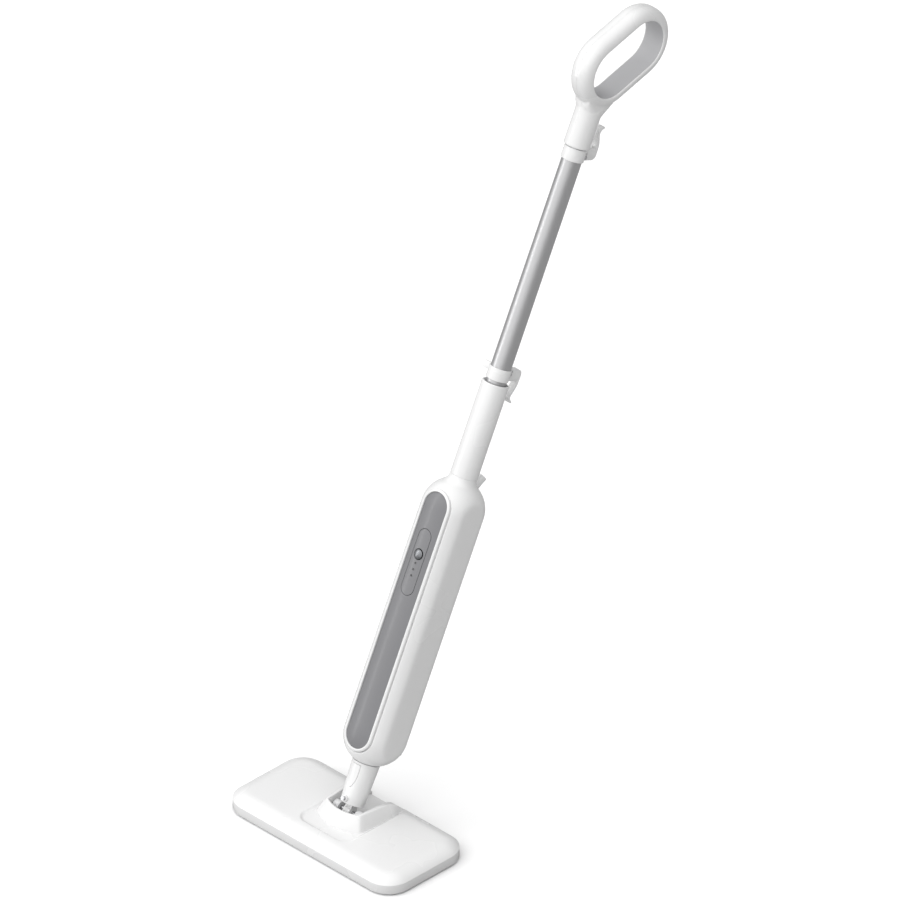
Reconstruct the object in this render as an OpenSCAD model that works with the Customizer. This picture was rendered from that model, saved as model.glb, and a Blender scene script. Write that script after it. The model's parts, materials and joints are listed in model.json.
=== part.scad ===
// Steam mop: a flat steam head, a neck that tilts and rolls on it, a capsule
// housing with tank, pump and boiler, and a metal tube with a closed ring handle.
// The stick is drawn upright about its own axis (z along the stick, +y to the
// back) and is then leaned back about the tilt axle in the head.
// The origin is the centre of the head's underside, on the floor.

/* [Stick] */
// Lean of the stick back from upright at rest, degrees
lean = 26.2; // [0:0.1:60]
// Height of the tilt axle above the floor
axle_z = 28.5; // [27:0.5:30]
// Tilt axle's distance behind the head's centre
axle_y = 6.1; // [4:0.1:8]
// Outer radius of the metal tube
tube_r = 13.5; // [13:0.1:14]
// Lower end of the metal tube, inside the socket
tube_low = 470; // [466:1:480]
// Upper end of the metal tube, inside the handle's stem
tube_high = 952; // [940:1:956]

/* [Head] */
// Length of the head, left to right
head_l = 300; // [280:1:320]
// Depth of the head, front to back
head_d = 145; // [140:1:150]
// Corner radius of the head in plan
head_r = 33; // [25:1:40]
// Height of the head's upright side band
band_h = 15.4; // [14:0.1:17]
// Height of the head's top surface
head_h = 25; // [24:0.5:26]
// Height of the pivot cowl's rim
cowl_h = 41; // [38:0.5:42]

/* [Neck] */
// Neck radius at its lower end
neck_r0 = 15.9; // [15:0.1:16]
// Neck radius at its upper end
neck_r1 = 18.3; // [17:0.1:19]
// Lower end of the neck along the stick
neck_low = 11.7; // [11:0.1:13]
// Roll pin's place along the stick
pin_s = 18; // [17:0.5:19]
// Radius of the release spigot that plugs into the neck
spigot_r = 12; // [11:0.5:12]

/* [Housing] */
// Radius of the capsule-shaped housing
body_r = 41.2; // [40:0.1:42]
// Centre of the housing's lower round end
body_low = 106.5; // [104:0.5:108]
// Centre of the housing's upper round end
body_high = 416; // [414:0.5:418]
// Half width across the two flat sides
flat_x = 35.8; // [35:0.1:37]
// Wall thickness of the housing shells
wall = 2.5; // [2:0.1:3]
// Radius of the socket tube on top of the housing
socket_r = 18; // [17.5:0.1:18.5]
// Upper end of the socket tube
socket_top = 589.3; // [585:0.1:592]

/* [Front panel] */
// Half width of the grey front panel
panel_hw = 19.5; // [18:0.1:20]
// Half width of the control panel
control_hw = 10.3; // [9:0.1:11]
// Power button's place along the stick
button_s = 353; // [345:1:360]
// Power button radius
button_r = 6.5; // [6:0.1:7]

/* [Handle] */
// Radius of the handle's stem
stem_r = 15.1; // [15:0.1:16]
// Tilt of the ring's long axis back from the stick, degrees
ring_tilt = 48.3; // [40:0.1:55]
// Radius of the ring's round ends at the middle of the grip
ring_r = 42.8; // [41:0.1:44]
// Half length of the ring's straight sides
ring_half = 27.6; // [26:0.1:31]
// Thickness of the grip, across its two long faces
grip_t = 15.2; // [15:0.1:16]
// Half width of the grip, left to right
grip_hw = 17.3; // [17:0.1:18]

/* [Hidden] */
$fn = 96;

big = 400;
run = 0.05;           // radial clearance of a running fit
gap = 0.4;            // clearance between pieces that move apart

// Housing
shoulder_fillet = 13;
shoulder_top = 461.5;
spout_r = 15.5;       // plug of the socket tube, in the housing's mouth
split_y = 26;         // plane between the front and rear shells
inner_r = body_r - wall;
inner_x = flat_x - wall;
screw_r = 1.6;
screw_places = [[22, 90], [24, 232], [20, 428]];   // [x, s] on each side
head_y = 29.5;        // seat of the housing screws' heads

// Front panel
panel_y = -36.7;      // the panel's foremost line
panel_arc_r = 87.5;   // the panel's cross curvature
panel_low = 107;
panel_high = 419;
panel_t = 2.5;
bezel_hw = 23.3;
opening_hw = 24.8;
control_low = 307.8;
control_high = 376.7;
control_y = -35.2;    // floor of the control panel's pocket
light_s = [341, 332.4, 324];
light_r = 1.4;

// Cord gland, on the back of the shoulder
gland_r = 6.3;
cord_bore_r = 3.6;
gland_l = 24;
gland_tilt = 36;
gland_end = [0, 36.5, 461];

// Inside the housing
board_y = -29.5;
boiler_r = 25;
boiler_low = 96;
boiler_high = 160;
pump_r = 17;
pump_low = 174;
pump_high = 222;
tank_r = 35;
tank_x = 31;
tank_low = 250;
tank_high = 412;
tank_t = 2;
filler_s = 392;
filler_r = 12;
filter_y = 5;

// Neck and knuckle
neck_high = 69.5;
neck_bore_low = 40;
pin_r = 2.75;
axle_r = 3;
lug_hw = 5.5;
button_top = 65.2;
button_tip = 34.6;
shield_hw = 6.6;

// Hooks
collar_r = 14.9;
lower_collar = [594, 610];
upper_collar = [894.5, 911.5];
hook_hw = 5;

// Ring handle's centre
ring_y = 24.2;
ring_s = 1037;

// Head
crown = [[0, band_h], [3, 18.4], [7.5, 21.4], [13, 23.7], [19, 24.8], [26, head_h]];
cover_low = 2.6;
plate_low = 3.4;
plate_t = 3;
dish_z = 22.6;
well_z = 13.5;
well_hw = 29;
well_front = -17;
ramp_y = 20;          // the well's floor slopes down to the back from here
ramp_back = 73;
ramp_z = 8.2;
slab_t = 0.4;         // thickness of the layers that blended forms are drawn from
base_screw_places = [[120, 50], [120, -50], [45, 58], [45, -58]];

// Points on an arc about [cx, cy] from angle a0 to a1
function arc(cx, cy, r, a0, a1, n = 8) =
    [for (i = [0:n]) [cx + r * cos(a0 + (a1 - a0) * i / n), cy + r * sin(a0 + (a1 - a0) * i / n)]];

// Places its children in the leaning stick's frame
module stick() translate([0, axle_y, axle_z]) rotate([-lean, 0, 0]) children();

// A cylinder along +y from y0 to y1, at place s on the stick
module y_rod(r, x, s, y0, y1) translate([x, y1, s]) rotate([90, 0, 0]) cylinder(r = r, h = y1 - y0);

// A cylinder along +x from x0 to x1
module x_rod(r, y, s, x0, x1) translate([x0, y, s]) rotate([0, 90, 0]) cylinder(r = r, h = x1 - x0);

// A ring about the stick's axis from s0 to s1
module sleeve(r_out, r_in, s0, s1) {
    difference() {
        translate([0, 0, s0]) cylinder(r = r_out, h = s1 - s0);
        translate([0, 0, s0 - 1]) cylinder(r = r_in, h = s1 - s0 + 2);
    }
}

// A flat outline in the x-s plane, made solid from y0 to y1
module front_block(y0, y1) translate([0, y1, 0]) rotate([90, 0, 0]) linear_extrude(y1 - y0) children();

// A solid across x, from its side outline in [y, z]
module side_block(hw, outline) {
    translate([-hw, 0, 0]) rotate([90, 0, 90]) linear_extrude(2 * hw) polygon(outline);
}

module stadium(hw, low, high) {
    translate([-hw, low]) square([2 * hw, high - low]);
    for (s = [low, high]) translate([0, s]) circle(hw);
}

// ---------------------------------------------------------------- handle

function grip_outline(t, hw, outer_round, inner_round) = concat(
    arc(ring_r + t / 2 - outer_round, hw - outer_round, outer_round, 0, 90, 6),
    arc(ring_r - t / 2 + inner_round, hw - inner_round, inner_round, 90, 180, 3),
    arc(ring_r - t / 2 + inner_round, inner_round - hw, inner_round, 180, 270, 3),
    arc(ring_r + t / 2 - outer_round, outer_round - hw, outer_round, 270, 360, 6)
);

module ring_place() {
    translate([0, ring_y, ring_s]) rotate([-ring_tilt, 0, 0]) children();
}

// Sweeps an outline, drawn at its distance from the ring's centreline axis,
// round the two ends and the two straight sides of the ring
module ring_sweep(outline) {
    for (side = [1, -1]) {
        translate([0, 0, side * ring_half]) rotate([0, 90, 0]) rotate([0, 0, side * 90])
            rotate_extrude(angle = 180) polygon(outline);
        translate([0, 0, -ring_half]) linear_extrude(2 * ring_half)
            rotate([0, 0, side * 90]) polygon(outline);
    }
}

function band_outline(r0, r1, hw) = [[r0, -hw], [r1, -hw], [r1, hw], [r0, hw]];

grip_inner_r = ring_r - grip_t / 2;
liner_t = 1.4;
liner_hw = 15.5;
screw_line_r = ring_r - 1.2;   // the handle's screws, from the middle of the ring's round ends
handle_screw_places = [[screw_line_r, 0], [-screw_line_r, 0], [0, ring_half + screw_line_r]];

// The flare that joins the stem to the ring's lower end
module flare() {
    rods = [[-26, 47.2, 12.5], [39, 47, 8.5], [21.5, 50.4, 8.5]];   // [angle, distance, half length]
    rod_r = 3;
    end_y = ring_y - ring_half * sin(ring_tilt);
    end_s = ring_s - ring_half * cos(ring_tilt);
    hull() {
        translate([0, 0, 959]) rotate([-14, 0, 0]) cylinder(r = stem_r, h = 1, $fn = 48);
        for (p = rods)
            x_rod(rod_r, end_y + p[1] * sin(p[0]), end_s - p[1] * cos(p[0]), -p[2], p[2], $fn = 32);
    }
}

module handle_form() {
    difference() {
        union() {
            ring_place() ring_sweep(grip_outline(grip_t, grip_hw, 13.6, 1.5));
            translate([0, 0, 912.5]) cylinder(r = stem_r, h = 54);
            flare();
        }
        ring_place() ring_sweep(grip_outline(grip_t - 5.4, grip_hw - 2.7, 8.6, 1));
        ring_place() ring_sweep(band_outline(grip_inner_r - 1, grip_inner_r + liner_t, liner_hw));
        translate([0, 0, 900]) cylinder(r = tube_r, h = tube_high - 900);
    }
}

module handle_half(side) {
    color("white") stick() difference() {
        union() {
            intersection() {
                handle_form();
                translate([side > 0 ? 0 : -50, -150, 800]) cube([50, 400, 400]);
            }
            ring_place() for (p = handle_screw_places)
                x_rod(3.4, p[0], p[1], side > 0 ? 0 : 3.3 - grip_hw, side > 0 ? grip_hw - 3.3 : 0);
        }
        ring_place() for (p = handle_screw_places) {
            x_rod(1.4, p[0], p[1], -8, 8);
            x_rod(2.9, p[0], p[1], -big, -8);
        }
    }
}

module handle_left_half() handle_half(-1);
module handle_right_half() handle_half(1);

module grip_liner() {
    color("lightgray") stick() ring_place()
        ring_sweep(band_outline(grip_inner_r, grip_inner_r + liner_t, liner_hw));
}

module handle_screws() {
    color("dimgray") stick() ring_place() for (p = handle_screw_places) {
        x_rod(1.4, p[0], p[1], -8, 8);
        x_rod(2.9, p[0], p[1], -10.5, -8);
    }
}

module pole_tube() {
    color("silver") stick() sleeve(tube_r, tube_r - 1.2, tube_low, tube_high);
}

// ---------------------------------------------------------------- cord hooks

// Side outline of a hook, as [y, distance from the base along the hook]
hook_outline = concat(
    [[13.5, -1]], arc(31.8, 7, 7, -90, 0, 5), [[38, 22], [32.6, 35.5]],
    [[32.3, 38.5], [34.3, 41.3], [38.2, 44.2], [37.6, 45.8], [34.8, 45.6]],
    [[31.2, 42.6], [29.2, 38.4], [29.5, 34.5], [34.6, 21.5]], arc(31.8, 12.7, 3.2, 0, 90, 3), [[13.5, 15.9]]
);

module upper_cord_hook() {
    base = upper_collar[0];
    color("whitesmoke") stick() difference() {
        union() {
            sleeve(stem_r, tube_r, base, upper_collar[1]);
            translate([0, 0, base + 1]) side_block(hook_hw, hook_outline);
        }
        translate([0, 0, base - 10]) cylinder(r = tube_r, h = 40);
        x_rod(1.3, 18.5, base + 4.5, -big, big);
        x_rod(1.5, 18.5, base + 9, hook_hw - 2, big);
    }
}

module upper_hook_screw() {
    color("gray") stick() {
        x_rod(1.3, 18.5, upper_collar[0] + 4.5, -hook_hw, hook_hw);
        x_rod(2.3, 18.5, upper_collar[0] + 4.5, hook_hw, hook_hw + 1.4);
    }
}

module lower_cord_hook() {
    top = lower_collar[1];
    color("whitesmoke") stick() difference() {
        union() {
            sleeve(collar_r, tube_r + run, lower_collar[0], top);
            translate([0, 0, top - 1]) mirror([0, 0, 1]) side_block(hook_hw, hook_outline);
            translate([-28, -1.5, top - 10]) cube([16, 3, 9.7]);
        }
        translate([0, 0, top - 40]) cylinder(r = tube_r + run, h = 50);
        for (s = [top - 4, top - 8.5]) x_rod(1.2, 18.5, s, -big, big);
    }
}

module lower_hook_pins() {
    color("gray") stick() for (s = [lower_collar[1] - 4, lower_collar[1] - 8.5])
        x_rod(1.2, 18.5, s, -hook_hw, hook_hw + 0.5);
}

// ---------------------------------------------------------------- housing

module capsule(r) {
    translate([0, 0, body_low]) cylinder(r = r, h = body_high - body_low);
    for (s = [body_low, body_high]) translate([0, 0, s]) sphere(r = r);
}

// Half outline of the housing: round ends, and a concave shoulder up to its mouth
function housing_outline() =
    let (cr = socket_r + shoulder_fillet,
         cz = body_high + sqrt(pow(body_r + shoulder_fillet, 2) - cr * cr),
         touch = atan2(cz - body_high, cr))
    concat(
        arc(0, body_low, body_r, -90, 0, 14), arc(0, body_high, body_r, 0, touch, 8),
        arc(cr, cz, shoulder_fillet, 180 + touch - 4, 180, 6), [[socket_r, shoulder_top], [0, shoulder_top]]
    );

// Half outline of the space inside the shells
function space_outline() =
    concat(arc(0, body_low, inner_r, -90, 0, 14), arc(0, body_high, inner_r, 0, 90, 14));

module flats(x) translate([-x, -big / 2, 0]) cube([2 * x, big, 600]);

module housing_form() {
    intersection() {
        rotate_extrude() polygon(housing_outline());
        flats(flat_x);
    }
}

module housing_space() {
    intersection() {
        rotate_extrude() polygon(space_outline());
        flats(inner_x);
    }
}

module gland_rod(r, extra) {
    translate(gland_end) rotate([-gland_tilt, 0, 0]) translate([0, 0, -gland_l - extra])
        cylinder(r = r, h = gland_l + 2 * extra);
}

module shell_wall() {
    difference() {
        housing_form();
        housing_space();
        translate([0, 0, 430]) cylinder(r = spout_r, h = 60);
        gland_rod(gland_r, 10);
        translate([0, 0, 50]) cylinder(r = spigot_r, h = 30);
        front_block(-60, 0) stadium(opening_hw, panel_low, panel_high);
    }
}

module at_screws() for (p = screw_places, side = [1, -1]) translate([side * p[0], 0, p[1]]) children();

module front_shell() {
    color("white") stick() difference() {
        union() {
            intersection() {
                shell_wall();
                translate([-100, -100, 0]) cube([200, 100 + split_y, 600]);
            }
            intersection() {
                at_screws() y_rod(4, 0, 0, -31, split_y);
                housing_form();
            }
        }
        at_screws() y_rod(screw_r, 0, 0, 8, split_y + 1);
        front_block(-60, -28) stadium(opening_hw, panel_low, panel_high);
    }
}

module rear_shell() {
    color("white") stick() difference() {
        union() {
            intersection() {
                shell_wall();
                translate([-100, split_y, 0]) cube([200, 100, 600]);
            }
            intersection() {
                at_screws() y_rod(5, 0, 0, split_y, 60);
                housing_form();
            }
        }
        at_screws() y_rod(screw_r, 0, 0, split_y - 1, 60);
        at_screws() y_rod(3.6, 0, 0, head_y, 60);
        y_rod(filler_r + 2.7, 0, filler_s, 20, 60);
    }
}

module housing_screws() {
    color("silver") stick() at_screws() {
        y_rod(screw_r, 0, 0, 8, head_y);
        y_rod(3.2, 0, 0, head_y, head_y + 2);
    }
}

module panel_bezel() {
    color("white") stick() difference() {
        union() {
            intersection() {
                front_block(-60, -30) stadium(bezel_hw, panel_low, panel_high);
                capsule(body_r + 0.8);
            }
            front_block(-30, -28.8) stadium(opening_hw - 0.1, panel_low, panel_high);
        }
        front_block(-60, 0) stadium(panel_hw, panel_low, panel_high);
    }
}

// The panel's cross-curved front, r_cut in from it
module panel_curve(inset) {
    translate([0, panel_y + panel_arc_r, 0]) cylinder(r = panel_arc_r - inset, h = 600, $fn = 180);
}

module panel_holes() {
    y_rod(button_r + 0.8, 0, button_s, -60, 0);
    for (s = light_s) y_rod(light_r, 0, s, -60, 0);
}

module front_panel() {
    color("gray") stick() difference() {
        intersection() {
            front_block(-60, -25) stadium(panel_hw - 0.1, panel_low, panel_high);
            panel_curve(0);
            capsule(body_r - 1);
        }
        panel_curve(panel_t);
        front_block(-60, control_y) stadium(control_hw + 0.5, control_low, control_high);
        panel_holes();
    }
}

module control_panel() {
    color("gray") stick() difference() {
        intersection() {
            front_block(-60, control_y) stadium(control_hw, control_low, control_high);
            panel_curve(0);
        }
        panel_holes();
    }
}

module indicator_lights() {
    color("black") stick() for (s = light_s) y_rod(light_r, 0, s, panel_y - 0.4, board_y);
}

module power_button() {
    dome_r = 22;
    button_y = -38.9;
    color("darkgray") stick() {
        intersection() {
            y_rod(button_r, 0, button_s, -60, -33.2);
            translate([0, button_y + dome_r, button_s]) sphere(r = dome_r);
        }
        y_rod(2.5, 0, button_s, -33.3, -31.9);
    }
}

module circuit_board() {
    color("darkgreen") stick() {
        translate([-13, board_y, 300]) cube([26, 1.6, 96]);
        y_rod(2, 0, button_s, board_y - 0.9, board_y + 0.1);
        translate([-9, board_y + 1.5, 372]) cube([18, 3, 14]);
        for (s = [308, 320]) translate([-8, board_y + 1.5, s]) cube([7, 2.6, 7]);
    }
}

module socket_tube() {
    color("white") stick() difference() {
        union() {
            translate([0, 0, shoulder_top]) cylinder(r = socket_r, h = socket_top - shoulder_top);
            translate([0, 0, shoulder_top - 15]) cylinder(r = spout_r, h = 16);
        }
        translate([0, 0, shoulder_top + 3.5]) cylinder(r = tube_r + 2.1, h = 200);
        translate([0, 0, shoulder_top - 20]) cylinder(r = tube_r - 0.5, h = 20);
    }
}

module upper_bush() {
    color("lightgray") stick() sleeve(tube_r + 2.1, tube_r + run, socket_top - 14, socket_top - 1);
}

module lower_bush() {
    color("lightgray") stick() sleeve(tube_r + 2.1, tube_r + run, shoulder_top + 4, shoulder_top + 20);
}

module cord_gland() {
    color("white") stick() difference() {
        gland_rod(gland_r, 0);
        gland_rod(cord_bore_r, 1);
    }
}

module terminal_block() {
    color("ivory") stick() difference() {
        translate([-8, -8, 418]) cube([16, 12, 10]);
        for (x = [-4, 4]) translate([x, -2, 421]) cylinder(r = 1.5, h = 10);
    }
}

module tank_form(inset) {
    intersection() {
        translate([0, 0, tank_low + inset])
            cylinder(r = tank_r - inset, h = tank_high - tank_low - 2 * inset);
        translate([inset - tank_x, inset - 24, 0]) cube([2 * (tank_x - inset), 80, 600]);
    }
}

module water_tank() {
    color("lightblue") stick() difference() {
        union() {
            tank_form(0);
            y_rod(filler_r + 2.4, 0, filler_s, 20, 38.5);
        }
        tank_form(tank_t);
        y_rod(filler_r + run, 0, filler_s, 15, 50);
        translate([0, filter_y, tank_low - 1]) cylinder(r = 3, h = 5);
    }
}

module filler_cap() {
    color("gray") stick() {
        y_rod(filler_r, 0, filler_s, 31, 41.6);
        y_rod(16.5, 0, filler_s, 41.6, 44.5);
        translate([-12, 44.4, filler_s - 1.8]) cube([24, 3, 3.6]);
    }
}

module cap_seal() {
    color("black") stick() difference() {
        y_rod(filler_r + 2.2, 0, filler_s, 39, 41.6);
        y_rod(filler_r, 0, filler_s, 30, 50);
    }
}

module water_filter() {
    color("steelblue") stick() translate([0, filter_y, 0]) {
        translate([0, 0, pump_high + 6]) cylinder(r = 8, h = tank_low - pump_high - 6);
        translate([0, 0, pump_high]) cylinder(r = 3, h = 7);
    }
}

module pump() {
    color("dimgray") stick() {
        translate([0, 0, pump_low]) cylinder(r = pump_r, h = pump_high - pump_low);
        for (s = [pump_low + 8, pump_high - 12]) translate([0, 0, s]) cylinder(r = pump_r + 2, h = 4);
    }
}

module feed_hose() {
    color("white") stick() translate([-10, 0, boiler_high]) difference() {
        cylinder(r = 3, h = pump_low - boiler_high);
        translate([0, 0, -1]) cylinder(r = 1.8, h = 30);
    }
}

module boiler() {
    color("silver") stick() difference() {
        translate([0, 0, boiler_low]) cylinder(r = boiler_r, h = boiler_high - boiler_low);
        translate([0, 0, boiler_low - 1]) cylinder(r = 2.5, h = 30);
        translate([-10, 0, boiler_high - 30]) cylinder(r = 1.8, h = 31);
    }
}

module thermostat() {
    color("black") stick() translate([10, 0, boiler_high]) {
        cylinder(r = 8, h = 5);
        for (x = [-4, 4]) translate([x - 0.5, -3, 4.9]) cube([1, 6, 6]);
    }
}

module thermal_fuse() {
    color("beige") stick() translate([0, boiler_r + 2.6, 104]) cylinder(r = 2.5, h = 24);
}

module steam_pipe() {
    color("silver") stick() sleeve(4, 2.5, 85, boiler_low);
}

module steam_spigot() {
    color("lightgray") stick() difference() {
        union() {
            translate([0, 0, neck_bore_low + 1]) cylinder(r = spigot_r, h = 84 - neck_bore_low);
            translate([0, 0, 71]) cylinder(r = 14, h = 3);
        }
        translate([0, 0, neck_bore_low]) cylinder(r = 2.5, h = 60);
        sleeve(spigot_r + 1, 9.8, 46.6, 49);
    }
}

module spigot_seal() {
    color("black") stick() translate([0, 0, 47.8])
        rotate_extrude() translate([10.9, 0]) circle(1.1, $fn = 24);
}

// ---------------------------------------------------------------- neck

module neck_cone(extra) {
    translate([0, 0, neck_low])
        cylinder(r1 = neck_r0 + extra, r2 = neck_r1 + extra, h = neck_high - neck_low);
}

// Shield outline of the release button: flat top, sides running to a round tip
module shield(extra) {
    polygon(concat(
        [[shield_hw + extra, button_top + extra], [-shield_hw - extra, button_top + extra]],
        [[-shield_hw - extra, 52], [-5.6 - extra, 44]],
        arc(0, button_tip + 3, 3 + extra, 205, 335, 6),
        [[5.6 + extra, 44], [shield_hw + extra, 52]]
    ));
}

module neck() {
    color("white") stick() difference() {
        union() {
            neck_cone(0);
            y_rod(4.2, 0, pin_s, -19.5, -12);
        }
        translate([0, 0, body_low]) sphere(r = body_r + gap);
        translate([0, 0, neck_low - 1]) cylinder(r = 13.5, h = 20.3);
        translate([0, 0, 20]) cylinder(r = 3, h = 30);
        translate([0, 0, neck_bore_low]) cylinder(r = spigot_r + run, h = 60);
        y_rod(pin_r, 0, pin_s, -30, 30);
        front_block(-30, -13.2) shield(gap);
    }
}

module release_button() {
    color("whitesmoke") stick() intersection() {
        front_block(-30, -15.4) shield(0);
        neck_cone(0.2);
    }
}

// One round wire wound round the y axis
module release_spring() {
    coil_r = 2.4;
    wire_r = 0.3;
    turns = 2;
    steps = 16;
    sides = 6;
    rings = turns * steps;
    pitch = 0.75;
    function wire_point(i, j) = let (a = 360 * i / steps, b = 360 * j / sides, r = coil_r + wire_r * cos(b))
        [r * cos(a), pitch * i / steps + wire_r * sin(b), r * sin(a)];
    points = [for (i = [0:rings], j = [0:sides - 1]) wire_point(i, j)];
    walls = [for (i = [0:rings - 1], j = [0:sides - 1]) let (k = (j + 1) % sides)
        [i * sides + j, i * sides + k, (i + 1) * sides + k, (i + 1) * sides + j]];
    ends = [[for (j = [sides - 1:-1:0]) j], [for (j = [0:sides - 1]) rings * sides + j]];
    color("silver") stick() translate([0, -15.05, 55]) polyhedron(points, concat(walls, ends), convexity = 6);
}

module roll_pin() {
    color("silver") stick() y_rod(pin_r, 0, pin_s, -23, 15.5);
}

module knuckle() {
    color("white") stick() difference() {
        union() {
            x_rod(8, 0, 0, -lug_hw, lug_hw);
            translate([-lug_hw, -lug_hw, 0]) cube([2 * lug_hw, 2 * lug_hw, pin_s]);
            y_rod(lug_hw, 0, pin_s, -lug_hw, lug_hw);
        }
        x_rod(axle_r, 0, 0, -20, 20);
        y_rod(pin_r + run, 0, pin_s, -20, 20);
    }
}

module tilt_axle() {
    color("silver") stick() x_rod(axle_r, 0, 0, -24.5, 24.5);
}

// ---------------------------------------------------------------- head

module plan(inset) {
    x = head_l / 2 - head_r;
    y = head_d / 2 - head_r;
    r = head_r - inset;
    square([2 * x, 2 * (y + r)], center = true);
    square([2 * (x + r), 2 * y], center = true);
    for (i = [-1, 1], j = [-1, 1]) translate([i * x, j * y]) circle(r);
}

function plan_outline(inset) =
    let (x = head_l / 2 - head_r, y = head_d / 2 - head_r, r = head_r - inset)
    concat(arc(x, y, r, 0, 90), arc(-x, y, r, 90, 180), arc(-x, -y, r, 180, 270), arc(x, -y, r, 270, 360));

// The crowned head, skin inside its surface
module head_form(low, skin) {
    hull() {
        slab(low, plan_outline(skin));
        for (c = crown) slab(c[1] - skin - slab_t, plan_outline(c[0] + skin));
    }
}

// Plan of the cowl: straight sides and an arched front
function cowl_plan(hw, corner_y, bulge, back_hw, back_y) = concat(
    [for (i = [-8:8]) [hw * i / 8, corner_y - bulge * (1 - pow(i / 8, 2))]],
    [[back_hw, back_y], [-back_hw, back_y]]
);

module slab(z, outline) translate([0, 0, z]) linear_extrude(slab_t) polygon(outline);

module cowl_form() {
    hull() {
        slab(21, cowl_plan(40.5, -14.5, 13.5, 43, 48));
        slab(cowl_h - slab_t, cowl_plan(30.6, -5.6, 8.9, 36, 36));
        slab(38, cowl_plan(34, 0, 0, 39.5, 48.5));
        slab(14.9, cowl_plan(39, 40, 0, 38, 71.5));
    }
}

module cowl_space() {
    hull() {
        slab(well_z, cowl_plan(25, -5, 6, 25, 90));
        slab(cowl_h + 1, cowl_plan(27, -5, 6.5, 30.5, 48));
        slab(30, cowl_plan(25.6, -5, 6.5, 27.5, 90));
    }
    side_block(25, [
        [ramp_y, well_z], [ramp_back, ramp_z], [103, ramp_z], [103, well_z + 1], [ramp_y, well_z + 1]
    ]);
}

module well_block() {
    floor_t = 1.6;
    low = 11.2;
    side_block(well_hw, [
        [well_front, low], [ramp_y, low], [ramp_back, ramp_z - floor_t], [103, ramp_z - floor_t],
        [103, 24.2], [well_front, 24.2]
    ]);
}

module head_cover() {
    color("white") difference() {
        head_form(cover_low, 0);
        head_form(cover_low - 2, 2.6);
        translate([0, 0, -1]) linear_extrude(cover_low + 2) plan(2.6);
        well_block();
        cowl_form();
        hull() {
            slab(dish_z, dish_plan(42));
            slab(head_h + 1, dish_plan(46.5));
        }
    }
}

// Rounded-corner plan of the shallow dish in front of the cowl
function dish_plan(hw) = concat(
    arc(hw - 14, -hw - 1 + 14, 14, -90, 0, 6),
    [[hw, 60], [-hw, 60]],
    arc(14 - hw, -hw - 1 + 14, 14, 180, 270, 6)
);

module pivot_cowl() {
    color("white") difference() {
        union() {
            cowl_form();
            intersection() {
                well_block();
                head_form(cover_low, 0);
            }
        }
        cowl_space();
    }
}

module bearing(x0) {
    color("lightgray") difference() {
        union() {
            x_rod(7.5, axle_y, axle_z, x0, x0 + 9.5);
            translate([x0, axle_y - 7.5, well_z]) cube([9.5, 15, axle_z - well_z]);
        }
        x_rod(axle_r + run, axle_y, axle_z, x0 - 1, x0 + 11);
    }
}

module left_bearing() bearing(-23.8);
module right_bearing() bearing(14.3);

module steam_manifold() {
    color("gray") difference() {
        translate([-60, -9, plate_low + plate_t]) cube([120, 26, 4.6]);
        translate([-57, -6, plate_low + plate_t - 1]) cube([114, 20, 4]);
    }
}

module base_plate() {
    color("gray") difference() {
        translate([0, 0, plate_low]) linear_extrude(plate_t) plan(2.8);
        for (x = [-50:20:50], y = [-2, 10]) translate([x, y, 0]) cylinder(r = 1.5, h = 20);
        for (p = base_screw_places, i = [-1, 1]) translate([i * p[0], p[1], 0]) cylinder(r = screw_r, h = 20);
    }
}

module base_screws() {
    color("silver") for (p = base_screw_places, i = [-1, 1]) translate([i * p[0], p[1], plate_low])
        cylinder(r = screw_r, h = 9);
}

module pad_strips() {
    color("dimgray") for (y = [-45, 45]) translate([-100, y - 4, 2.6]) cube([200, 8, plate_low - 2.6]);
}

module mop_pad() {
    color("lightsteelblue") linear_extrude(2.6) plan(3.5);
}

handle_left_half();
handle_right_half();
grip_liner();
handle_screws();
pole_tube();
upper_cord_hook();
upper_hook_screw();
lower_cord_hook();
lower_hook_pins();
front_shell();
rear_shell();
panel_bezel();
front_panel();
control_panel();
indicator_lights();
power_button();
circuit_board();
socket_tube();
upper_bush();
lower_bush();
cord_gland();
terminal_block();
housing_screws();
water_tank();
filler_cap();
cap_seal();
water_filter();
pump();
feed_hose();
boiler();
thermostat();
thermal_fuse();
steam_pipe();
steam_spigot();
spigot_seal();
neck();
release_button();
release_spring();
roll_pin();
knuckle();
tilt_axle();
head_cover();
pivot_cowl();
left_bearing();
right_bearing();
steam_manifold();
base_plate();
base_screws();
pad_strips();
mop_pad();
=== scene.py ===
"""Looks for the steam mop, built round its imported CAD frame.

Pieces on the stick are drawn in the stick's own axes, in millimetres: x to the right, y to the
back, z up the stick from the tilt axle. STICK turns those into the row frame, in metres.
Pieces on the head are drawn in the row frame's axes, in millimetres.
"""

import json
import math

import bmesh
import bpy
from mathutils import Matrix, Vector, noise


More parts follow.
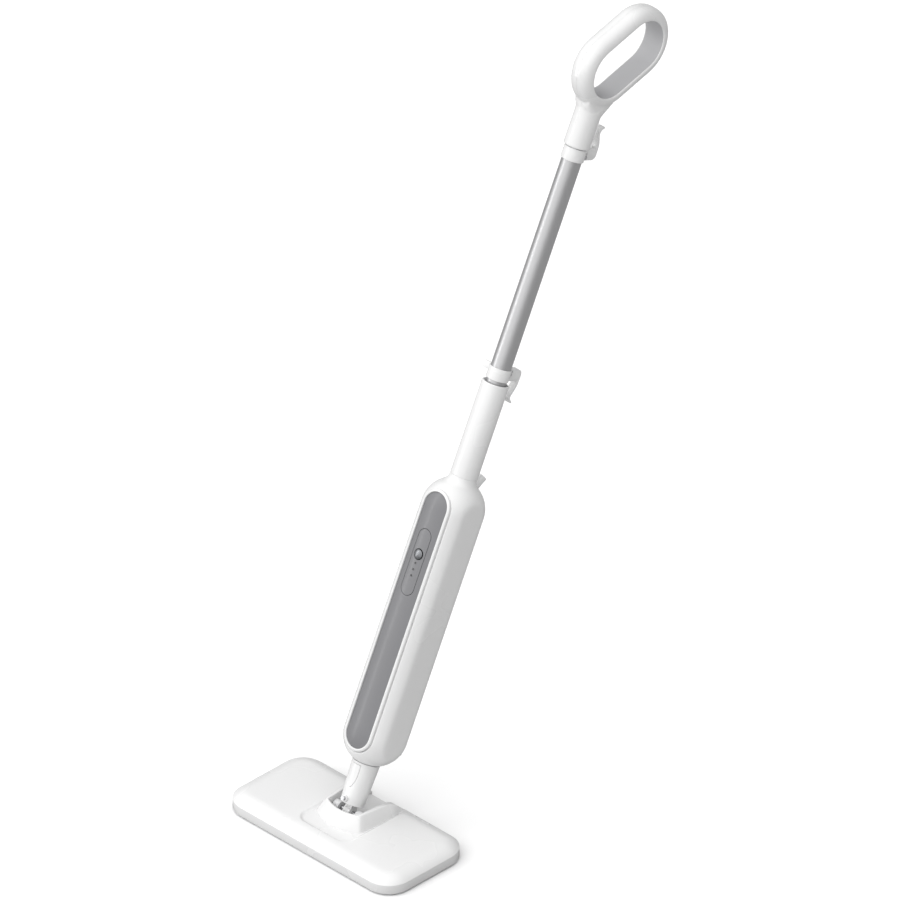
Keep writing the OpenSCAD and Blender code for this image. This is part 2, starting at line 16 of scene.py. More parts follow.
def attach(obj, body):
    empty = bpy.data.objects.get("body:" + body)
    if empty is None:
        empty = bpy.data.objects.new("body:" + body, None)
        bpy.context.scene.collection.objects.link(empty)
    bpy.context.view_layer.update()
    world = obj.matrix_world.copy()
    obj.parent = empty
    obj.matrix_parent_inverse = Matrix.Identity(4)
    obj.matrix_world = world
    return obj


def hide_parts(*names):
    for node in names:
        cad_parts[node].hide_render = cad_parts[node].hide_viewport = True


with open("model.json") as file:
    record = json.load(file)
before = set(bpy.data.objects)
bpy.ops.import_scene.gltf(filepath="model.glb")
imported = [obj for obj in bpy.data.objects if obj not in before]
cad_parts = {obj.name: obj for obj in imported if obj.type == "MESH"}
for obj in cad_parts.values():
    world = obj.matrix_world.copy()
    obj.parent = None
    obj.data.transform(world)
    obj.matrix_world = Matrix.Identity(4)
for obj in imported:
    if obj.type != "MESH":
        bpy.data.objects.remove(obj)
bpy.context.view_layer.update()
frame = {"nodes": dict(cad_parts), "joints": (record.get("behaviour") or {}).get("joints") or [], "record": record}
MM = 0.001
PARTING = 0.12

# ---------------------------------------------------------------- places, from the frame

joints = {joint["name"]: joint for joint in frame["joints"]}
BACK = Vector(joints["neck_roll"]["axis"])
UP = -Vector(joints["pole_pull"]["axis"])
PIVOT = Vector(joints["head_tilt"]["pos_m"])
STICK = (Matrix.Translation(PIVOT) @ Matrix(((1, 0, 0), BACK, UP)).transposed().to_4x4()
         @ Matrix.Scale(MM, 4))
HEAD = Matrix.Scale(MM, 4)


def local_box(node, place=STICK):
    """(lowest, highest) corner of a CAD node in a place's own axes, in millimetres."""
    inverse = place.inverted()
    points = [inverse @ v.co for v in frame["nodes"][node].data.vertices]
    return (Vector(min(p[i] for p in points) for i in range(3)),
            Vector(max(p[i] for p in points) for i in range(3)))


rear = local_box("rear_shell")
shell = local_box("front_shell")
bezel = local_box("panel_bezel")
panel = local_box("front_panel")
control = local_box("control_panel")
button = local_box("power_button")
socket = local_box("socket_tube")
tube = local_box("pole_tube")
neck = local_box("neck")
upper_hook = local_box("upper_cord_hook")
lower_hook = local_box("lower_cord_hook")
handle = local_box("handle_right_half")
cover = local_box("head_cover", HEAD)
cowl = local_box("pivot_cowl", HEAD)
pad = local_box("mop_pad", HEAD)

# Housing: a capsule of radius BODY_R about the stick, with two flat sides
BODY_R = rear[1].y
FLAT_X = shell[1].x
SPLIT_Y = rear[0].y
WALL = 2.5
BODY_LOW = panel[0].z + panel[1].x
BODY_HIGH = panel[1].z - panel[1].x
SHELL_LOW = 106.5
SHELL_HIGH = 416
SHOULDER_R = 13
BUTTON_S = (button[0].z + button[1].z) / 2

# Handle: a stadium ring, tilted back
RING_CENTRE = Vector((0, 24.2, 1037))
RING_TILT = math.radians(48.3)
RING_R = 42.8
RING_HALF = 27.6
GRIP_T = 15.2
GRIP_HW = 17.3
GRIP_FILLET = 13.6
GRIP_EDGE = 1.5
STEM_TOP = 966
FLARE_LOW = 959
FLARE_LEAN = math.radians(14)
FLARE_R = 3
FLARE_RODS = ((-26, 47.2, 12.5), (39, 47, 8.5), (21.5, 50.4, 8.5))
RING = STICK @ Matrix.Translation(RING_CENTRE) @ Matrix.Rotation(-RING_TILT, 4, "X")

# ---------------------------------------------------------------- outlines


def arc(u, v, r, a0, a1, steps):
    """Points on an arc about (u, v), from angle a0 to a1 in degrees."""
    angles = [math.radians(a0 + (a1 - a0) * i / steps) for i in range(steps + 1)]
    return [(u + r * math.cos(a), v + r * math.sin(a)) for a in angles]


def fillet(corners, steps=5, closed=True):
    """A path through (u, v, radius) corners, each rounded to its radius."""
    path = []
    count = len(corners)
    for i, (u, v, r) in enumerate(corners):
        here = Vector((u, v))
        if r == 0 or (not closed and i in (0, count - 1)):
            path.append((u, v))
            continue
        back = (Vector(corners[i - 1][:2]) - here).normalized()
        ahead = (Vector(corners[(i + 1) % count][:2]) - here).normalized()
        half = back.angle(ahead) / 2
        centre = here + (back + ahead).normalized() * (r / math.sin(half))
        start = here + back * (r / math.tan(half)) - centre
        end = here + ahead * (r / math.tan(half)) - centre
        path += [tuple(centre + start.slerp(end, k / steps).normalized() * r) for k in range(steps + 1)]
    return path


def rounded_rect(half_u, half_v, r, steps=8):
    """A rounded rectangle's outline, with its points in order."""
    return (arc(half_u - r, half_v - r, r, 0, 90, steps)
            + arc(r - half_u, half_v - r, r, 90, 180, steps)
            + arc(r - half_u, r - half_v, r, 180, 270, steps)
            + arc(half_u - r, r - half_v, r, 270, 360, steps))


def soft_min(a, b, k):
    return -k * math.log(math.exp(-a / k) + math.exp(-b / k))


def smooth_step(low, high, value):
    t = min(1, max(0, (value - low) / (high - low)))
    return t * t * (3 - 2 * t)


def stadium(half, y, low, high, ends=40, sides=36, flat=None):
    """A loop in the plane y: half circles about low and high on the stick, and straight sides."""
    loop = [(half * math.cos(a), high + half * math.sin(a))
            for a in (math.pi * i / ends for i in range(ends + 1))]
    loop += [(-half, high + (low - high) * i / sides) for i in range(1, sides)]
    loop += [(-half * math.cos(a), low - half * math.sin(a))
             for a in (math.pi * i / ends for i in range(ends + 1))]
    loop += [(half, low + (high - low) * i / sides) for i in range(1, sides)]
    if flat:
        loop = [(math.copysign(soft_min(abs(x), flat, 0.9), x), s) for x, s in loop]
    return [(x, y, s) for x, s in loop]


def turned(path, count=96):
    """Loops of a form turned about the stick's axis, from (radius, height) points."""
    angles = [2 * math.pi * i / count for i in range(count)]
    return [[(r * math.cos(a), r * math.sin(a), z) for a in angles] for r, z in path]


def housing_path(tau0, tau1, edge=0.6, end_edge=True):
    """Half widths and depths of the housing's wall from angle tau0 to tau1 off the front."""
    def at(tau, inset):
        return ((BODY_R - inset) * math.sin(tau), -(BODY_R - inset) * math.cos(tau))

    quarter = [math.radians(22.5 * k) for k in range(5)]
    rim = [(edge * (1 - math.sin(a)), edge * (1 - math.cos(a)) / BODY_R) for a in quarter]
    steps = 34
    first = tau0 + edge / BODY_R
    last = tau1 - (edge / BODY_R if end_edge else 0)
    path = [at(tau0 + along, inset) for inset, along in rim]
    path += [at(first + (last - first) * i / steps, 0) for i in range(1, steps)]
    if end_edge:
        path += [at(tau1 - along, inset) for inset, along in reversed(rim)]
    else:
        path.append(at(tau1, 0))
    return path, [at(tau1 + (tau0 - tau1) * i / steps, WALL) for i in range(steps + 1)]


# ---------------------------------------------------------------- meshes


def loft(loops, ring=False, caps=False):
    """A skin through equal closed loops of points; ring joins the last loop to the first."""
    count = len(loops[0])
    faces = []
    for i in range(len(loops) if ring else len(loops) - 1):
        a, b = i * count, (i + 1) % len(loops) * count
        faces += [(a + j, a + (j + 1) % count, b + (j + 1) % count, b + j) for j in range(count)]
    if caps:
        faces.append(tuple(reversed(range(count))))
        faces.append(tuple(range((len(loops) - 1) * count, len(loops) * count)))
    return [p for loop in loops for p in loop], faces


def extruded(outline, low, high):
    """A flat (u, v) outline made solid along x."""
    return loft([[(x, u, v) for u, v in outline] for x in (low, high)], caps=True)


def hull_of(points):
    """The skin of the smallest convex solid round some points."""
    bm = bmesh.new()
    verts = [bm.verts.new(p) for p in points]
    bmesh.ops.convex_hull(bm, input=verts)
    bmesh.ops.delete(bm, geom=[v for v in bm.verts if not v.link_faces], context="VERTS")
    bm.verts.index_update()
    skin = [v.co.copy() for v in bm.verts], [[v.index for v in f.verts] for f in bm.faces]
    bm.free()
    return skin


def mesh_of(name, skins, place):
    data = bpy.data.meshes.new(name)
    bm = bmesh.new()
    for points, faces in skins:
        verts = [bm.verts.new(p) for p in points]
        for face in faces:
            bm.faces.new([verts[i] for i in face])
    bmesh.ops.remove_doubles(bm, verts=bm.verts, dist=0.002)
    bmesh.ops.recalc_face_normals(bm, faces=bm.faces)
    bm.transform(place)
    bm.to_mesh(data)
    bm.free()
    return data


def shade(obj, angle=38):
    obj.data.shade_smooth()
    obj.data.set_sharp_from_angle(angle=math.radians(angle))


def new_object(name, data):
    obj = bpy.data.objects.new(name, data)
    bpy.context.scene.collection.objects.link(obj)
    return obj


def piece(name, skins, place=STICK):
    return new_object(name, mesh_of(name, skins, place))


def bake(obj):
    """Applies the object's modifiers."""
    graph = bpy.context.evaluated_depsgraph_get()
    data = bpy.data.meshes.new_from_object(obj.evaluated_get(graph))
    obj.modifiers.clear()
    obj.data = data


def cut(obj, skins, operation="DIFFERENCE"):
    """Takes a solid on the stick away from a piece, or adds it."""
    tool = piece("tool", skins)
    change = obj.modifiers.new("cut", "BOOLEAN")
    change.operation = operation
    change.object = tool
    change.solver = "EXACT"
    bake(obj)
    bpy.data.objects.remove(tool)


def soften_edges(obj, width, segments=3, angle=40):
    change = obj.modifiers.new("edges", "BEVEL")
    change.width = width * MM
    change.segments = segments
    change.limit_method = "ANGLE"
    change.angle_limit = math.radians(angle)
    change.use_clamp_overlap = False
    bake(obj)


def melt(obj, voxel, rounds):
    """Joins a piece's solids into one skin with soft inner corners."""
    change = obj.modifiers.new("voxels", "REMESH")
    change.mode = "VOXEL"
    change.voxel_size = voxel * MM
    relax = obj.modifiers.new("relax", "SMOOTH")
    relax.factor = 0.5
    relax.iterations = rounds
    bake(obj)


def fit(obj, body, material, nodes=(), angle=38):
    """Gives a finished piece its body and material, and hides the CAD nodes it stands in for."""
    obj.data.materials.clear()
    obj.data.materials.append(material)
    shade(obj, angle)
    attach(obj, body)
    if nodes:
        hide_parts(*nodes)
    return obj


# ---------------------------------------------------------------- materials


class Shader:
    """A material's nodes, added one call at a time."""

    def __init__(self, name):
        self.material = bpy.data.materials.new(name)
        self.material.use_nodes = True
        self.nodes = self.material.node_tree.nodes
        self.links = self.material.node_tree.links
        self.surface = self.nodes["Principled BSDF"]
        self.place = self.add("ShaderNodeTexCoord").outputs["Object"]

    def add(self, kind, **settings):
        node = self.nodes.new(kind)
        for key, value in settings.items():
            setattr(node, key, value)
        return node

    def link(self, source, target):
        self.links.new(source, target)

    def stretched(self, scale):
        """Places scaled along each axis."""
        node = self.add("ShaderNodeMapping")
        node.inputs["Scale"].default_value = scale
        self.link(self.place, node.inputs["Vector"])
        return node.outputs["Vector"]

    def noise(self, scale, detail=4, rough=0.5, place=None):
        node = self.add("ShaderNodeTexNoise")
        node.inputs["Scale"].default_value = scale
        node.inputs["Detail"].default_value = detail
        node.inputs["Roughness"].default_value = rough
        self.link(place or self.place, node.inputs["Vector"])
        return node.outputs["Fac"]

    def ramp(self, value, low, high, start=0.3, end=0.7):
        """A value spread from low to high as the source goes from start to end."""
        node = self.add("ShaderNodeMapRange")
        node.inputs["From Min"].default_value = start
        node.inputs["From Max"].default_value = end
        node.inputs["To Min"].default_value = low
        node.inputs["To Max"].default_value = high
        self.link(value, node.inputs["Value"])
        return node.outputs["Result"]

    def mix(self, value, first, second):
        """A colour between two colours, or between a colour socket and a colour."""
        node = self.add("ShaderNodeMix", data_type="RGBA")
        self.link(value, node.inputs["Factor"])
        for socket, colour in ((node.inputs["A"], first), (node.inputs["B"], second)):
            if isinstance(colour, bpy.types.NodeSocket):
                self.link(colour, socket)
            else:
                socket.default_value = (*colour, 1)
        return node.outputs["Result"]

    def edges(self, low=0.5, high=0.62):
        """0 on flat faces and 1 on outer edges."""
        node = self.add("ShaderNodeNewGeometry")
        return self.ramp(node.outputs["Pointiness"], 0, 1, low, high)

    def bumps(self, *heights):
        """Bumps in the surface from (height socket, depth in metres) pairs."""
        normal = None
        for height, depth in heights:
            node = self.add("ShaderNodeBump")
            node.inputs["Distance"].default_value = depth
            self.link(height, node.inputs["Height"])
            if normal:
                self.link(normal, node.inputs["Normal"])
            normal = node.outputs["Normal"]
        self.link(normal, self.surface.inputs["Normal"])

    def colour(self, socket):
        self.link(socket, self.surface.inputs["Base Color"])

    def rough(self, socket):
        self.link(socket, self.surface.inputs["Roughness"])

    def set(self, **values):
        for name, value in values.items():
            self.surface.inputs[name.replace("_", " ")].default_value = value


def tint(colour, factor):
    return tuple(min(1, c * factor) for c in colour)


def plastic(name, colour, rough=0.3, grain=0.000005, coat=0.0, scale=900):
    """Moulded plastic: a fine grain, slow changes of tone and gloss, and rubbed edges."""
    s = Shader(name)
    slow = s.noise(6, 1)
    fine = s.noise(scale, 2, 0.6)
    tone = s.mix(s.ramp(slow, 0, 1, 0.2, 0.8), tint(colour, 0.985), tint(colour, 1.01))
    speck = s.mix(s.ramp(fine, 0, 0.4), tone, tint(colour, 0.985))
    s.colour(s.mix(s.edges(0.52, 0.68), speck, tint(colour, 1.05)))
    s.rough(s.ramp(s.noise(14, 2, 0.5), rough - 0.03, rough + 0.04, 0.2, 0.8))
    s.set(Coat_Weight=coat, Coat_Roughness=0.1, IOR=1.5)
    s.bumps((fine, grain), (slow, 0.00004))
    return s.material


def metal(name, colour, rough, spread=(900, 900, 30), grain=0.00001, mottle=0.8, clump=140):
    """Metal with fine lines along one direction and cloudy patches of tone."""
    s = Shader(name)
    lines = s.noise(1, 3, 0.6, s.stretched(spread))
    cloud = s.noise(clump, 3, 0.7)
    tone = s.mix(s.ramp(cloud, 0, 1, 0.36, 0.64), tint(colour, mottle), colour)
    lined = s.mix(s.ramp(lines, 0, 0.6), tone, tint(colour, 0.75))
    s.colour(s.mix(s.edges(), lined, tint(colour, 1.25)))
    s.rough(s.ramp(lines, rough - 0.06, rough + 0.1))
    s.set(Metallic=1.0)
    s.bumps((lines, grain), (cloud, grain * 2))
    return s.material


def clear(name, colour, rough=0.12):
    """Clear moulded plastic."""
    s = Shader(name)
    haze = s.noise(80, 4)
    s.colour(s.mix(s.ramp(haze, 0, 1), tint(colour, 0.96), colour))
    s.rough(s.ramp(haze, rough, rough + 0.12))
    s.set(Transmission_Weight=0.8, IOR=1.49)
    s.bumps((haze, 0.00005))
    return s.material


def cloth(name, colour):
    """Looped microfibre: soft clumps of yarn, fine fibre ends, and painted shade in the hollows between the loops.
    """
    s = Shader(name)
    loops = s.add("ShaderNodeTexVoronoi")
    loops.inputs["Scale"].default_value = 520
    s.link(s.place, loops.inputs["Vector"])
    clump = s.noise(160, 4, 0.6)
    fibre = s.noise(2600, 3, 0.7)
    # painted shade: the colour darkens towards the hollows between the loops, where the bump sinks
    looped = s.mix(s.ramp(loops.outputs["Distance"], 0, 1, 0.1, 0.7), colour, tint(colour, 0.62))
    tone = s.mix(s.ramp(clump, 0, 0.6), looped, tint(colour, 0.8))
    s.colour(s.mix(s.ramp(fibre, 0, 0.35), tone, tint(colour, 1.15)))
    s.rough(s.ramp(fibre, 0.85, 0.98))
    s.set(Sheen_Weight=0.5, Sheen_Roughness=0.5)
    s.bumps((loops.outputs["Distance"], -0.0008), (clump, 0.0006), (fibre, 0.0002))
    return s.material


white = plastic("white_plastic", (0.74, 0.74, 0.74), rough=0.26, coat=0.2)
pale = plastic("pale_plastic", (0.66, 0.66, 0.665), rough=0.34)
grip = plastic("pale_grip", (0.42, 0.42, 0.43), rough=0.5, grain=0.00006, scale=1400)
ivory = plastic("ivory_plastic", (0.7, 0.66, 0.54), rough=0.4)
grey = plastic("grey_panel", (0.17, 0.17, 0.178), rough=0.4, coat=0.1)
base_grey = plastic("base_grey", (0.16, 0.16, 0.17), rough=0.45, grain=0.00005)
dark = plastic("dark_lens", (0.012, 0.012, 0.014), rough=0.15, coat=0.5)
black = plastic("black_plastic", (0.02, 0.02, 0.022), rough=0.4, grain=0.00004)
rubber = plastic("black_rubber", (0.025, 0.025, 0.025), rough=0.65, grain=0.00006)
hose = plastic("hose_silicone", (0.62, 0.6, 0.56), rough=0.4)
blue = plastic("filter_blue", (0.08, 0.2, 0.42), rough=0.35)
board = plastic("board_green", (0.02, 0.14, 0.06), rough=0.35, grain=0.00004)
tape = plastic("hook_tape", (0.07, 0.07, 0.075), rough=0.9, grain=0.0004, scale=1800)
tube_metal = metal("tube_metal", (0.4, 0.4, 0.405), rough=0.4, mottle=0.2, clump=290, grain=0.00006)
button_metal = metal("button_metal", (0.22, 0.225, 0.235), rough=0.26)
steel = metal("steel", (0.42, 0.42, 0.43), rough=0.28)
pump_metal = metal("pump_metal", (0.45, 0.43, 0.38), rough=0.35)
alloy = metal("cast_alloy", (0.5, 0.5, 0.51), rough=0.5, spread=(300, 300, 300), grain=0.00008)
tank = clear("tank_clear", (0.86, 0.9, 0.94))
pad_cloth = cloth("pad_cloth", (0.5, 0.52, 0.56))

SLOTS = {
    "white_plastic": white, "pale_plastic": pale, "pale_grip": grip, "ivory_plastic": ivory,
    "grey_panel": grey, "base_grey": base_grey, "dark_lens": dark, "black_plastic": black,
    "black_rubber": rubber, "hose_silicone": hose, "filter_blue": blue, "board_green": board,
    "hook_tape": tape, "tube_metal": tube_metal, "button_metal": button_metal, "steel": steel,
    "pump_metal": pump_metal, "cast_alloy": alloy, "tank_clear": tank, "pad_cloth": pad_cloth,
}

# ---------------------------------------------------------------- housing


def make_shells():
    tau_open = math.asin((bezel[1].x + 0.1) / BODY_R)
    tau_split = math.acos(-SPLIT_Y / BODY_R)
    parting = PARTING / BODY_R

    def loops(path):
        return [stadium(h, y, SHELL_LOW, SHELL_HIGH, 52, 48, FLAT_X - BODY_R + math.hypot(h, y))
                for h, y in path]

    outer, inner = housing_path(tau_open, tau_split - parting)
    front = loft(loops(outer + inner), ring=True)
    centre_r = socket[1].x + SHOULDER_R
    centre_z = SHELL_HIGH + math.sqrt((BODY_R + SHOULDER_R) ** 2 - centre_r ** 2)
    touch = math.degrees(math.atan2(centre_z - SHELL_HIGH, centre_r))
    top = shell[1].z
    profile = arc(0, SHELL_HIGH, BODY_R + 0.03, touch - 5, touch, 6)
    profile += arc(centre_r, centre_z, SHOULDER_R, 180 + touch, 181, 14)
    profile += [(socket[1].x, top - 0.5), (socket[1].x - 0.15, top - 0.15), (socket[1].x - 0.5, top)]
    profile += [(15, top), (15, 450), (24, 445)]
    obj = piece("housing_front", [front, loft(turned(profile, 112), ring=True)])
    fit(obj, "housing", white, ["front_shell"])


def make_socket():
    low, high = shell[1].z, socket[1].z
    r = socket[1].x
    profile = fillet([(r, low, 0.5), (r, high, 1.1), (15.65, high, 0.5), (15.65, high - 16, 0),
                      (14.5, high - 17, 0), (14.5, low, 0)])
    obj = piece("socket", [loft(turned(profile, 112), ring=True)])
    fit(obj, "housing", white, ["socket_tube"])


def make_bezel():
    outer = 23.3
    inner = panel[1].x + 0.1
    top = BODY_R + 0.8
    low = bezel[1].y
    path = fillet([
        (bezel[1].x, low, 0), (bezel[1].x, low - 1.2, 0.3), (outer, low - 1.2, 0.3),
        (outer, -math.sqrt(top ** 2 - outer ** 2), 1.3), (inner, -math.sqrt(top ** 2 - inner ** 2), 1.1),
        (inner, low, 0)])
    obj = piece("panel_rim", [loft([stadium(h, y, BODY_LOW, BODY_HIGH) for h, y in path], ring=True)])
    fit(obj, "housing", white, ["panel_bezel"])


def panel_depth(x, s):
    """Depth of the front panel's curved face at a point."""
    reach = math.hypot(x, max(BODY_LOW - s, 0, s - BODY_HIGH))
    return panel[0].y + reach ** 2 / 175


def dropped(loop, drop):
    """A loop laid on the panel's face, and moved down from it."""
    return [(x, panel_depth(x, s) + drop, s) for x, y, s in loop]


def between(first, last, steps):
    """Loops spread from one to another."""
    return [[tuple(Vector(a).lerp(b, i / steps)) for a, b in zip(first, last)]
            for i in range(steps + 1)]


def make_panels():
    low, high = control[0].z + control[1].x, control[1].z - control[1].x
    half = control[1].x
    edge = [(0.5, 1.2), (0.05, 0.5), (-0.15, 0.15), (-0.5, 0)]

    wide = panel[1].x
    inner = [dropped(stadium(half + 0.5 - inset, 0, low, high), drop) for inset, drop in edge]
    field = between(stadium(half + 1.2, 0, low, high), stadium(wide - 0.7, 0, BODY_LOW, BODY_HIGH), 14)
    face = [dropped(loop, 0) for loop in field]
    rim = [dropped(stadium(wide - inset, 0, BODY_LOW, BODY_HIGH), drop)
           for inset, drop in ((0.5, 0.0), (0.15, 0.15), (0, 0.5), (0, 2.4))]
    under = [dropped(stadium(half + 0.5, 0, low, high), 2.4)]
    obj = piece("panel", [loft(inner + face + rim + under, ring=True)])
    fit(obj, "housing", grey, ["front_panel"])

    hole = button[1].x + 0.8
    inner = [dropped(stadium(hole + inset, 0, BUTTON_S, BUTTON_S), drop)
             for inset, drop in ((0, 1.4), (0, 0.4), (0.12, 0.12), (0.4, 0))]
    field = between(stadium(hole + 0.5, 0, BUTTON_S, BUTTON_S), stadium(half - 0.6, 0, low, high), 8)
    face = [dropped(loop, 0) for loop in field]
    rim = [dropped(stadium(half - inset, 0, low, high), drop)
           for inset, drop in ((0.5, 0), (0.15, 0.15), (0, 0.5), (0, 1.4))]
    obj = piece("control_plate", [loft(inner + face + rim, ring=True)])
    fit(obj, "housing", grey, ["control_panel"])


def make_button():
    r = button[1].x
    dome = 22
    front = button[0].y
    def dome_y(radius):
        return front + dome - math.sqrt(dome ** 2 - radius ** 2)
    path = [(0, button[1].y), (2.5, button[1].y), (2.5, -33.3), (r, -33.3), (r, dome_y(r) + 0.7),
            (r - 0.1, dome_y(r) + 0.3), (r - 0.4, dome_y(r))]
    path += [(radius, dome_y(radius)) for radius in (5.2, 5.1)]
    path += [(5.0, dome_y(5) + 0.2), (4.8, dome_y(4.8) + 0.2), (4.7, dome_y(4.7))]
    path += [(4.6 * (1 - i / 8), dome_y(4.6 * (1 - i / 8))) for i in range(9)]
    loops = [stadium(radius, y, BUTTON_S, BUTTON_S, 32, 1) for radius, y in path]
    obj = piece("power_key", [loft(loops)])
    fit(obj, "power_button", button_metal, ["power_button"])


# ---------------------------------------------------------------- hooks and neck

HOOK_HALF = 5
RECESS_Y = 18.5
ROLL_PIN_S = 18


def hook_outline():
    """Side outline of a cord hook, as (y, distance along the hook from its base)."""
    bend = arc(31.8, 7, 7, -90, 0, 6)
    bend += [(38.7, 14), (38, 22), (35.4, 29), (32.6, 35.5), (32.4, 38.5), (34.3, 41.3), (38.2, 44),
             (38.4, 45.2), (37.4, 45.8), (34.8, 45.6), (31.2, 42.6), (29.3, 38.4), (29.7, 34.5),
             (32.2, 28), (34.6, 21.5)]
    bend += arc(31.8, 12.7, 3.2, 0, 90, 4)
    for _ in range(2):
        smooth = [((a * (3 - k) + c * (1 + k)) / 4, (b * (3 - k) + d * (1 + k)) / 4)
                  for (a, b), (c, d) in zip(bend, bend[1:]) for k in (0, 2)]
        bend = [bend[0]] + smooth + [bend[-1]]
    return [(13.5, -1)] + bend + [(13.5, 15.9)]


def make_hook(name, body, node, base, direction, collar, recesses, tab=False):
    """A cord hook and its collar, given as (low, high, radius, bore radius) on the stick."""
    collar_low, collar_high, collar_r, bore_r = collar
    outline = [(y, base + direction * d) for y, d in hook_outline()]
    arm = piece(name, [extruded(outline, -HOOK_HALF, HOOK_HALF)])
    soften_edges(arm, 0.7, 3, 50)
    for s, r, depth in recesses:
        cut(arm, [extruded(arc(RECESS_Y, s, r, 0, 345, 23), HOOK_HALF - depth, HOOK_HALF + 3)])
    ring = fillet([(collar_r, collar_low, 0.6), (collar_r, collar_high, 0.6),
                   (bore_r, collar_high, 0), (bore_r, collar_low, 0)])
    clamp = piece(name + "_collar", [loft(turned(ring, 96), ring=True)])
    if tab:
        plate = piece(name + "_tab", [loft([
            [(x, 1.5 - inset, collar_high - 0.3 - inset), (x, inset - 1.5, collar_high - 0.3 - inset),
             (x, inset - 1.5, collar_high - 10 + inset), (x, 1.5 - inset, collar_high - 10 + inset)]
            for x, inset in ((-14, 0), (-27.4, 0), (-28, 0.5))], caps=True)])
        soften_edges(plate, 0.5, 3, 50)
        join(clamp, plate)
    join(arm, clamp)
    fit(arm, body, white, [node])


def join(obj, other):
    """Adds another piece's mesh to a piece."""
    bm = bmesh.new()
    bm.from_mesh(obj.data)
    bm.from_mesh(other.data)
    bm.to_mesh(obj.data)
    bm.free()
    bpy.data.objects.remove(other)


def make_hooks():
    low = upper_hook[0].z
    make_hook("upper_hook", "pole", "upper_cord_hook", low + 1, 1,
              (low, low + 17, 15.1, tube[1].x), [(low + 4.5, 3.1, 0.9), (low + 9.6, 1.5, 3)])
    high = lower_hook[1].z
    make_hook("lower_hook", "lower_hook", "lower_cord_hook", high - 1, -1,
              (high - 16, high, 14.9, tube[1].x + 0.05), [(high - 4, 1.8, 1), (high - 8.5, 1.8, 1)],
              tab=True)


def shield(extra):
    """Outline of the release button: a flat top, and sides running to a round tip."""
    half = 6.6 + extra
    return ([(half, 65.2 + extra), (-half, 65.2 + extra), (-half, 52), (-5.6 - extra, 44)]
            + arc(0, 37.6, 3 + extra, 205, 335, 8) + [(5.6 + extra, 44), (half, 52)])


def front_block(outline, y0, y1):
    """A flat (x, height) outline made solid from y0 to y1."""
    return loft([[(x, y, z) for x, z in outline] for y in (y0, y1)], caps=True)


def rod(r, y0, y1):
    """A round rod along y, through the roll pin's place."""
    return front_block(arc(0, ROLL_PIN_S, r, 0, 351, 39), y0, y1)


def make_neck():
    low = neck[0].z
    ball = BODY_R + 0.4
    top = [(r, SHELL_LOW - math.sqrt(ball ** 2 - r ** 2)) for r in (17.7, 16.5, 15, 13.5, 12.1)]
    outer = fillet([(13.5, low, 0.3), (neck[1].x - 2.4, low, 1.0), (neck[1].x, 68.4, 0.6),
                    top[0] + (0,)], closed=False)
    inner = [(12.1, 40), (3, 40), (3, 31), (13.5, 31)]
    obj = piece("neck_shell", [loft(turned(outer + top + inner, 112), ring=True)])
    cut(obj, [rod(4.2, neck[0].y, -12)], operation="UNION")
    cut(obj, [front_block(shield(0.4), -30, -13.2)])
    cut(obj, [rod(2.76, -30, 30)])
    soften_edges(obj, 0.2, 2, 50)
    fit(obj, "neck", white, ["neck"])


# ---------------------------------------------------------------- handle


def ring_line(steps=28, sides=10):
    """Places round the ring's centreline, as (y, height, outward y, outward height)."""
    line = []
    for end in (1, -1):
        for i in range(steps + 1):
            a = math.radians(-90 + 180 * i / steps)
            out = (-end * math.sin(a), end * math.cos(a))
            line.append((RING_R * out[0], end * RING_HALF + RING_R * out[1], *out))
        for i in range(1, sides):
            drop = end * RING_HALF * (1 - 2 * i / sides)
            line.append((-end * RING_R, drop, -end, 0))
    return line


def ring_sweep(outline):
    """Sweeps an outline of (distance out from the centreline, x) round the ring."""
    loops = [[(x, y + d * oy, z + d * oz) for d, x in outline] for y, z, oy, oz in ring_line()]
    return loft(loops, ring=True)


